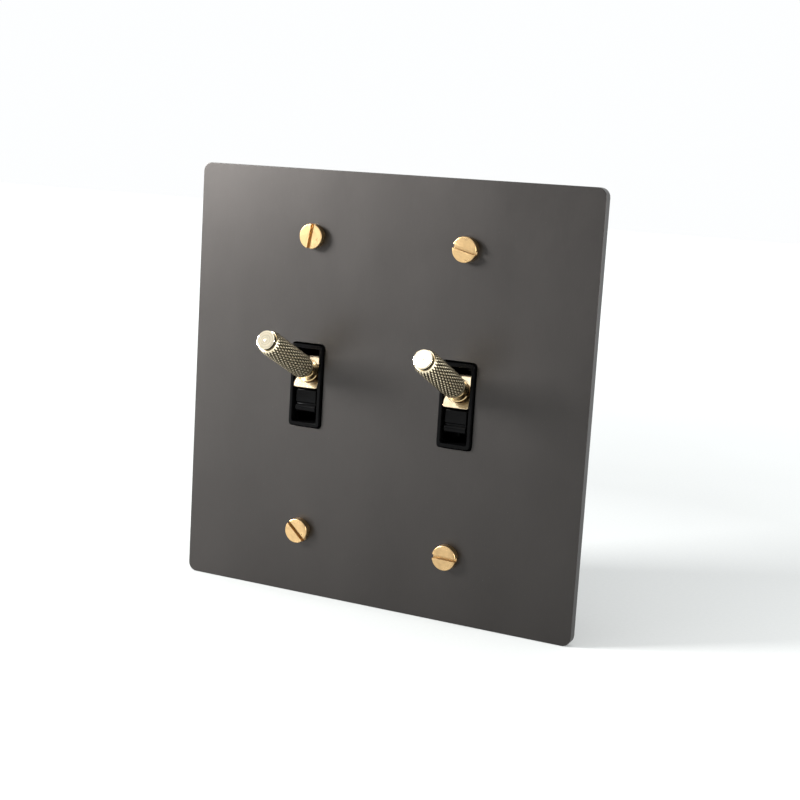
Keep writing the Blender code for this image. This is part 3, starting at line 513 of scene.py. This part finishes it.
def refined(node, material, width, segments=3):
    """A copy of a CAD node with its flats made whole and its edges rounded; it stands for the node."""
    source = frame["nodes"][node]
    bm = bmesh.new()
    bm.from_mesh(source.data)
    bmesh.ops.remove_doubles(bm, verts=bm.verts, dist=0.0005 * MM)
    bmesh.ops.dissolve_limit(bm, angle_limit=math.radians(1), verts=bm.verts, edges=bm.edges)
    piece = add(node + "_shape", mesh_of(node, bm), material, source["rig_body"], (node,))
    if width:
        round_edges(piece, width, segments)


def revolve(rows, columns, closed):
    """A skin of rings: each row is a function from the angle to (radius, height)."""
    bm = bmesh.new()
    rings = []
    for row in rows:
        ring = []
        for column in range(columns):
            angle = 2 * math.pi * column / columns
            radius, height = row(angle)
            ring.append(bm.verts.new((radius * math.cos(angle), radius * math.sin(angle), height)))
        rings.append(ring)
    pairs = list(zip(rings, rings[1:] + rings[:1] * closed))
    for below, above in pairs:
        for column in range(columns):
            after = (column + 1) % columns
            bm.faces.new((below[column], below[after], above[after], above[column]))
    if not closed:
        bm.faces.new(rings[0][::-1])
        bm.faces.new(rings[-1])
    return bm


def plain(radius, height):
    """A ring of constant radius."""
    return lambda angle: (radius, height)


def turned(name, profile, columns=64):
    """A solid of revolution; profile lists (radius, height) from one end to the other."""
    return mesh_of(name, revolve([plain(*point) for point in profile], columns, False))


def arc(centre, radius, start, end, steps):
    """Points along an arc between two angles in degrees, both ends included."""
    turns = [math.radians(start + (end - start) * step / steps) for step in range(steps + 1)]
    return [(centre[0] + radius * math.cos(turn), centre[1] + radius * math.sin(turn)) for turn in turns]


def rounded_rim(radius, height, fillet):
    """Profile points up and round the edge of a disc whose face lies at the given height."""
    return arc((radius - fillet, height - fillet), fillet, 0, 90, 5)


def cut(mesh, low, high, matrix):
    """Subtract a box between two corners, placed by a matrix, from a mesh and return the new mesh."""
    low, high = Vector(low), Vector(high)
    placed = matrix @ Matrix.Translation((low + high) / 2) @ Matrix.Diagonal((*(high - low), 1))
    bm = bmesh.new()
    bmesh.ops.create_cube(bm, size=1, matrix=placed)
    body = bpy.data.objects.new("body", mesh)
    tool = bpy.data.objects.new("tool", mesh_of("tool", bm, 0))
    for obj in (body, tool):
        bpy.context.scene.collection.objects.link(obj)
    modifier = body.modifiers.new("cut", "BOOLEAN")
    modifier.object = tool
    bpy.context.view_layer.update()
    result = bpy.data.meshes.new_from_object(body.evaluated_get(bpy.context.evaluated_depsgraph_get()))
    for obj in (body, tool):
        bpy.data.objects.remove(obj)
    result.shade_smooth()
    result.set_sharp_from_angle(angle=math.radians(SHARP_ANGLE))
    return result


# ---------------------------------------------------------------- screws


def thread_row(height, start, end):
    """One ring of a thread cut on a shank that runs from start down to end."""
    def radius_at(angle):
        turn = height / THREAD_PITCH - angle / (2 * math.pi)
        crest = abs((turn % 1.0) - 0.5) * 2
        fade = min(1.0, (start - height) / THREAD_PITCH, (height - end) / THREAD_PITCH)
        depth = THREAD_DEPTH * min(1.0, crest * 1.3) * max(0.0, fade)
        chamfer = max(0.0, THREAD_CHAMFER - (height - end))
        return THREAD_RADIUS - depth - chamfer, height
    return radius_at


def slotted_screw(name, size, length, slot_angle, columns):
    """A cheese-head screw with a rounded rim, an undercut, a cut thread and a slot across its head."""
    head_radius, head_height, slot_width, slot_depth = size
    rows = [plain(HEAD_DIMPLE, head_height)]
    rows += [plain(*point) for point in reversed(rounded_rim(head_radius, head_height, HEAD_RIM))]
    rows += [plain(head_radius, UNDERCUT), plain(head_radius - UNDERCUT, 0.0), plain(THREAD_RADIUS, 0.0)]
    cut_length = THREAD_START + length
    steps = int(cut_length / THREAD_PITCH * THREAD_SAMPLES)
    for step in range(steps + 1):
        rows.append(thread_row(THREAD_START - cut_length * step / steps, THREAD_START, -length))
    mesh = mesh_of(name, revolve(rows, columns, False))
    reach = 2 * head_radius
    low = (-reach, -slot_width / 2, head_height - slot_depth)
    high = (reach, slot_width / 2, head_height + slot_depth)
    return cut(mesh, low, high, Matrix.Rotation(math.radians(slot_angle), 4, "Z"))


def make_coin_screws(looks):
    """The four screws that hold the plate, heads just clear of its front and each slot at its own angle."""
    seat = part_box("face_plate")[0].y - SEAT_GAP
    turn = Matrix.Rotation(math.pi / 2, 4, "X")
    for key, angle in COIN_SLOT_ANGLES.items():
        node = key + "_coin_screw"
        low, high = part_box(node)
        mesh = slotted_screw(node, COIN_SCREW, high.y - seat, angle, COIN_SCREW_COLUMNS)
        middle = (low + high) / 2
        place = Matrix.Translation((middle.x, seat, middle.z)) @ turn
        piece = add(node + "_turned", mesh, looks["satin_brass"], WALL, (node,), place)
        round_edges(piece, 0.07 * MM, 2, SLOT_EDGE_ANGLE)


def side_screw(node, size, slot_angle, looks, slot, sign):
    """A screw whose head faces +X, or -X with a sign of -1."""
    low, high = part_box(node)
    top, tip = (high.x, low.x) if sign > 0 else (low.x, high.x)
    seat = top - sign * size[1]
    mesh = slotted_screw(node, size, abs(seat - tip), slot_angle, SIDE_SCREW_COLUMNS)
    middle = (low + high) / 2
    turn = Matrix.Rotation(sign * math.pi / 2, 4, "Y")
    place = Matrix.Translation((seat, middle.y, middle.z)) @ turn
    piece = add(node + "_turned", mesh, looks[slot], WALL, (node,), place)
    round_edges(piece, 0.08 * MM, 2, SLOT_EDGE_ANGLE)


def make_side_screws(looks):
    """Terminal screws on the right of each housing and the green ground screw on the left of each strap."""
    for side in SIDES:
        for tag in ("common", "switched"):
            node = f"{side}_{tag}_terminal_screw"
            side_screw(node, TERMINAL_SCREW, DRIVER_SLOT_ANGLES[tag], looks, "terminal_brass", 1)
        node = side + "_ground_screw"
        side_screw(node, GROUND_SCREW, DRIVER_SLOT_ANGLES["ground"], looks, "green_steel", -1)


# ---------------------------------------------------------------- levers


def tri(value):
    """0 on whole numbers, 1 half-way between them."""
    return 1 - abs((value % 1.0) - 0.5) * 2


def knurl_row(height, limit):
    """One ring of the diamond knurl, no further out than the limit radius."""
    def radius_at(angle):
        around = angle * KNURL_GROOVES / (2 * math.pi)
        along = height / KNURL_LENGTH
        swell = [math.sin(math.pi / 2 * tri(around + turn * along)) for turn in (-1, 1)]
        return min(GRIP_RADIUS - KNURL_DEPTH * (1 - swell[0] * swell[1]), limit), height
    return radius_at


def knurled_grip(name):
    """The sleeve: a plain band, then two crossing families of grooves, cut away to a chamfer at the top."""
    end_radius = GRIP_RADIUS - GRIP_CHAMFER
    step = KNURL_LENGTH / KNURL_SAMPLES
    rows = [plain(GRIP_BORE, GRIP_BOTTOM), plain(BAND_RADIUS - BAND_EDGE, GRIP_BOTTOM)]
    rows += [plain(BAND_RADIUS, GRIP_BOTTOM + BAND_EDGE), plain(BAND_RADIUS, BAND_TOP - 0.1 * MM)]
    for number in range(math.ceil(BAND_TOP / step), math.floor(GRIP_TOP / step - 0.1) + 1):
        height = number * step
        below = BAND_RADIUS + KNURL_FOOT_SLOPE * (height - BAND_TOP)
        above = end_radius + (GRIP_TOP - height) * GRIP_CHAMFER / GRIP_TAPER
        rows.append(knurl_row(height, min(below, above, GRIP_RADIUS)))
    rows += [plain(end_radius, GRIP_TOP), plain(GRIP_BORE, GRIP_TOP)]
    return mesh_of(name, revolve(rows, KNURL_GROOVES * KNURL_SAMPLES, True), 50)


def grip_cap(name):
    """The end cap: a groove under a disc with a rounded rim, a faced recess and a small raised centre."""
    groove, rim_foot = CAP_RADIUS - CAP_GROOVE_DEPTH, CAP_SEAT + CAP_GROOVE_WIDTH
    recess, floor = CAP_RADIUS - CAP_LAND, CAP_TOP - CAP_RECESS_DEPTH
    foot = CAP_BOSS + CAP_BOSS_FOOT
    profile = [(STUD_RADIUS, GRIP_TOP - CAP_STEM), (STUD_RADIUS, CAP_SEAT), (groove, CAP_SEAT)]
    profile += [(groove, rim_foot), (CAP_RADIUS, rim_foot + CAP_UNDERSIDE)]
    profile += rounded_rim(CAP_RADIUS, CAP_TOP, CAP_RIM)
    profile += [(recess, CAP_TOP), (recess - CAP_STEP, floor), (recess - 2 * CAP_STEP, floor)]
    profile += [(foot + CAP_STEP, floor), (foot, floor), (CAP_BOSS, CAP_TOP - CAP_BOSS_DROP)]
    profile += [(CAP_DIMPLE, CAP_TOP)]
    return turned(name, profile, columns=96)


def lever_stud(name):
    """The stud with its threaded ends, the waisted neck and the flange that sits in the block."""
    tip, low, high = STUD_RADIUS - STUD_TIP, FLANGE_BOTTOM_EDGE, FLANGE_TOP_EDGE
    profile = [(tip, STUD_BOTTOM), (STUD_RADIUS, STUD_BOTTOM + STUD_TIP), (STUD_RADIUS, FLANGE_BOTTOM)]
    profile += [(FLANGE_RADIUS - low, FLANGE_BOTTOM), (FLANGE_RADIUS, FLANGE_BOTTOM + low)]
    profile += [(FLANGE_RADIUS, FLANGE_TOP - high), (FLANGE_RADIUS - high, FLANGE_TOP)]
    profile += [(NECK_RADIUS + NECK_FILLET, FLANGE_TOP), (NECK_RADIUS, FLANGE_TOP + NECK_FILLET)]
    profile += [(NECK_RADIUS, NECK_TOP), (SHOULDER_RADIUS, SHOULDER_BOTTOM)]
    profile += [(SHOULDER_RADIUS, SHOULDER_TOP), (STUD_RADIUS, SHOULDER_TOP)]
    profile += [(STUD_RADIUS, STUD_TOP - STUD_TIP), (tip, STUD_TOP)]
    return turned(name, profile)


def drive_spring(name):
    """The compression spring, its end coils closed."""
    curve = bpy.data.curves.new(name, "CURVE")
    curve.dimensions = "3D"
    curve.bevel_depth = SPRING_WIRE
    curve.bevel_resolution = 4
    curve.use_fill_caps = True
    spline = curve.splines.new("POLY")
    count = SPRING_TURNS * SPRING_SIDES
    spline.points.add(count)
    for number, point in enumerate(spline.points):
        share = number / count
        closed = share - SPRING_CLOSING * math.sin(2 * math.pi * share)
        angle = 2 * math.pi * number / SPRING_SIDES
        height = SPRING_START + (SPRING_END - SPRING_START) * closed
        point.co = (SPRING_RADIUS * math.cos(angle), SPRING_RADIUS * math.sin(angle), height, 1)
    return curve


def hub_profile():
    """The hub's outline: block seat, sloping shoulders with a groove, rounded dust lips, drum and tail."""
    half = [(HUB_SEAT_HALF, HUB_SEAT), (HUB_SEAT_HALF, HUB_LEDGE), HUB_SLOPE_END, HUB_GROOVE]
    half += arc(HUB_LIP_CENTRE, HUB_LIP_RADIUS, 135, -60, 12)
    half += HUB_SKIRT_BACK
    half += arc((0, 0), HUB_DRUM_RADIUS, 20, -46, 14)
    half += [(HUB_TAIL_HALF, HUB_TAIL)]
    return half + [(-across, up) for across, up in reversed(half)]


def toggle_hub(name):
    """The outline drawn across the lever, as thick as the hub, with a trunnion on each side."""
    bm = bmesh.new()
    points = [bm.verts.new((-HUB_WIDTH / 2, across, up)) for across, up in hub_profile()]
    face = bm.faces.new(points)
    moved = bmesh.ops.extrude_face_region(bm, geom=[face])["geom"]
    tips = [item for item in moved if isinstance(item, bmesh.types.BMVert)]
    bmesh.ops.translate(bm, vec=(HUB_WIDTH, 0, 0), verts=tips)
    for sign in (-1, 1):
        length = TRUNNION_REACH - HUB_WIDTH / 2
        middle = Matrix.Translation((sign * (HUB_WIDTH + length) / 2, 0, 0))
        bmesh.ops.create_cone(
            bm, cap_ends=True, segments=48, radius1=TRUNNION_RADIUS, radius2=TRUNNION_RADIUS, depth=length,
            matrix=middle @ Matrix.Rotation(math.pi / 2, 4, "Y"),
        )
    return mesh_of(name, bm)


def lever_place(side):
    """The lever's frame: origin on its pivot, +Z out along the lever."""
    joint = next(j for j in frame["joints"] if j["name"] == side + "_lever_tilt")
    return Matrix.Translation(joint["pos_m"]) @ Matrix.Rotation(math.radians(90 - LEVER_TILT), 4, "X")


def make_lever(side, looks):
    """Every piece that swings with one lever."""
    place, body = lever_place(side), side + "_lever"
    for part, shape, look in (
        ("knurled_grip", knurled_grip, "knurled_brass"),
        ("grip_cap", grip_cap, "cap_brass"),
        ("lever_stud", lever_stud, "stud_brass"),
    ):
        node = f"{side}_{part}"
        add(node + "_turned", shape(node), looks[look], body, (node,), place)
    node = side + "_toggle_hub"
    look = looks["hub_moulding"]
    hub = add(node + "_moulded", toggle_hub(node), look, body, (node,), place)
    round_edges(hub, 0.14 * MM)
    refined(side + "_lever_block", looks["block_brass"], 0.05 * MM, 2)
    node = side + "_drive_spring"
    add(node + "_coil", drive_spring(node), looks["spring_steel"], body, (node,), place)
    refined(side + "_spring_plunger", looks["cream_nylon"], 0)


def make_rocker(side, looks):
    """The contact rocker that one lever tips."""
    refined(side + "_rocker_strip", looks["terminal_brass"], 0.12 * MM)
    refined(side + "_rocker_cradle", looks["cream_nylon"], 0.2 * MM)
    refined(side + "_moving_contact", looks["silver_contact"], 0.05 * MM)


# ---------------------------------------------------------------- fixed parts


def make_fixed_parts(looks):
    """The plate and, for each gang, the strap, cover, housing, terminals, rivets and screw retainers."""
    refined("face_plate", looks["smoked_bronze"], 0.06 * MM, 2)
    for side in SIDES:
        refined(side + "_bezel_cover", looks["cover_moulding"], 0.14 * MM)
        refined(side + "_rear_housing", looks["housing_moulding"], 0.2 * MM)
        refined(side + "_mounting_strap", looks["zinc_steel"], 0.12 * MM)
        refined(side + "_fixed_contact", looks["silver_contact"], 0.05 * MM)
        for tag in ("common", "switched"):
            refined(f"{side}_{tag}_terminal", looks["terminal_brass"], 0.1 * MM)
        for number in range(4):
            refined(f"{side}_body_rivet_{number}", looks["zinc_steel"], 0.1 * MM)
        for row in ROWS:
            refined(f"{side}_{row}_screw_retainer", looks["fibre"], 0.12 * MM)


# ---------------------------------------------------------------- studio


def make_floor(looks):
    """A level board under the plate's lower edge."""
    bm = bmesh.new()
    bmesh.ops.create_grid(bm, x_segments=2, y_segments=2, size=FLOOR_HALF)
    floor = bpy.data.objects.new("studio_floor", mesh_of("studio_floor", bm, 0))
    floor.data.materials.append(looks["studio_floor"])
    floor.location.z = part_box("face_plate")[0].z - FLOOR_DROP
    bpy.context.scene.collection.objects.link(floor)


def make_camera():
    data = bpy.data.cameras.new("camera")
    data.lens = CAMERA_LENS
    data.sensor_width = CAMERA_SENSOR
    data.clip_start = 10 * MM
    camera = bpy.data.objects.new("camera", data)
    bpy.context.scene.collection.objects.link(camera)
    azimuth, elevation = math.radians(CAMERA_AZIMUTH), math.radians(CAMERA_ELEVATION)
    level = math.cos(elevation)
    ahead = Vector((-math.sin(azimuth) * level, math.cos(azimuth) * level, -math.sin(elevation)))
    camera.rotation_mode = "QUATERNION"
    roll = Quaternion((0, 0, 1), math.radians(CAMERA_ROLL))
    camera.rotation_quaternion = ahead.to_track_quat("-Z", "Y") @ roll
    camera.location = CAMERA_PLACE
    bpy.context.scene.camera = camera


def make_soft_boxes():
    """Square soft lights, each turned towards the middle of the plate."""
    for name, (place, size, power) in SOFT_BOXES.items():
        data = bpy.data.lights.new(name, "AREA")
        data.energy = power
        data.size = size
        data.color = SOFT_BOX_COLOUR
        light = bpy.data.objects.new(name, data)
        bpy.context.scene.collection.objects.link(light)
        light.location = place
        light.rotation_euler = (-Vector(place)).to_track_quat("-Z", "Y").to_euler()
        light.visible_camera = False


def world_ramp(world, value, edges, ends):
    """A smooth step in the world's brightness: from the first end to the second between two edges."""
    nodes, links = world.node_tree.nodes, world.node_tree.links
    ramp = nodes.new("ShaderNodeMapRange")
    ramp.interpolation_type = "SMOOTHSTEP"
    links.new(value, ramp.inputs["Value"])
    for name, number in zip(("From Min", "From Max"), edges):
        ramp.inputs[name].default_value = number
    for name, end in zip(("To Min", "To Max"), ends):
        if isinstance(end, bpy.types.NodeSocket):
            links.new(end, ramp.inputs[name])
        else:
            ramp.inputs[name].default_value = end
    return ramp.outputs["Result"]


def make_world():
    """A pale room: bright overhead, behind and at the sides, and dim straight in front of the plate."""
    world = bpy.data.worlds.new("studio")
    bpy.context.scene.world = world
    world.use_nodes = True
    nodes, links = world.node_tree.nodes, world.node_tree.links
    where = nodes.new("ShaderNodeTexCoord").outputs["Generated"]
    split = nodes.new("ShaderNodeSeparateXYZ")
    links.new(where, split.inputs["Vector"])
    middle = world_ramp(world, split.outputs["X"], (-0.85, -0.1), (ROOM_LEFT, ROOM_FRONT))
    front = world_ramp(world, split.outputs["X"], (0.2, 0.75), (middle, ROOM_RIGHT))
    walls = world_ramp(world, split.outputs["Y"], (-0.1, 0.3), (front, ROOM_BEHIND))
    room = world_ramp(world, split.outputs["Z"], (0.3, 0.85), (walls, CEILING))
    seen = nodes.new("ShaderNodeLightPath").outputs["Is Camera Ray"]
    shown = world_ramp(world, seen, (0, 1), (room, BACKDROP))
    background = nodes["Background"]
    background.inputs["Color"].default_value = (*ROOM_COLOUR, 1)
    links.new(shown, background.inputs["Strength"])


# ---------------------------------------------------------------- the whole


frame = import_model()
LOOKS = {
    "smoked_bronze": smoked_bronze(),
    "satin_brass": satin_brass(),
    "block_brass": block_brass(),
    "cap_brass": cap_brass(),
    "stud_brass": stud_brass(),
    "knurled_brass": knurled_brass(),
    "cover_moulding": black_moulding("cover_moulding", 0.12, 0.03, 0.003 * MM),
    "hub_moulding": black_moulding("hub_moulding", 0.15, 0.04, 0.004 * MM),
    "housing_moulding": black_moulding("housing_moulding", 0.42, 0.5, 0.03 * MM),
    "zinc_steel": zinc_steel(),
    "terminal_brass": terminal_brass(),
    "silver_contact": silver_contact(),
    "green_steel": green_steel(),
    "fibre": fibre(),
    "spring_steel": spring_steel(),
    "cream_nylon": cream_nylon(),
    "studio_floor": studio_floor(),
}
bpy.context.scene.view_settings.view_transform = "Standard"
make_camera()
make_world()
make_soft_boxes()
make_floor(LOOKS)
make_fixed_parts(LOOKS)
make_coin_screws(LOOKS)
make_side_screws(LOOKS)
for lever_side in SIDES:
    make_lever(lever_side, LOOKS)
    make_rocker(lever_side, LOOKS)
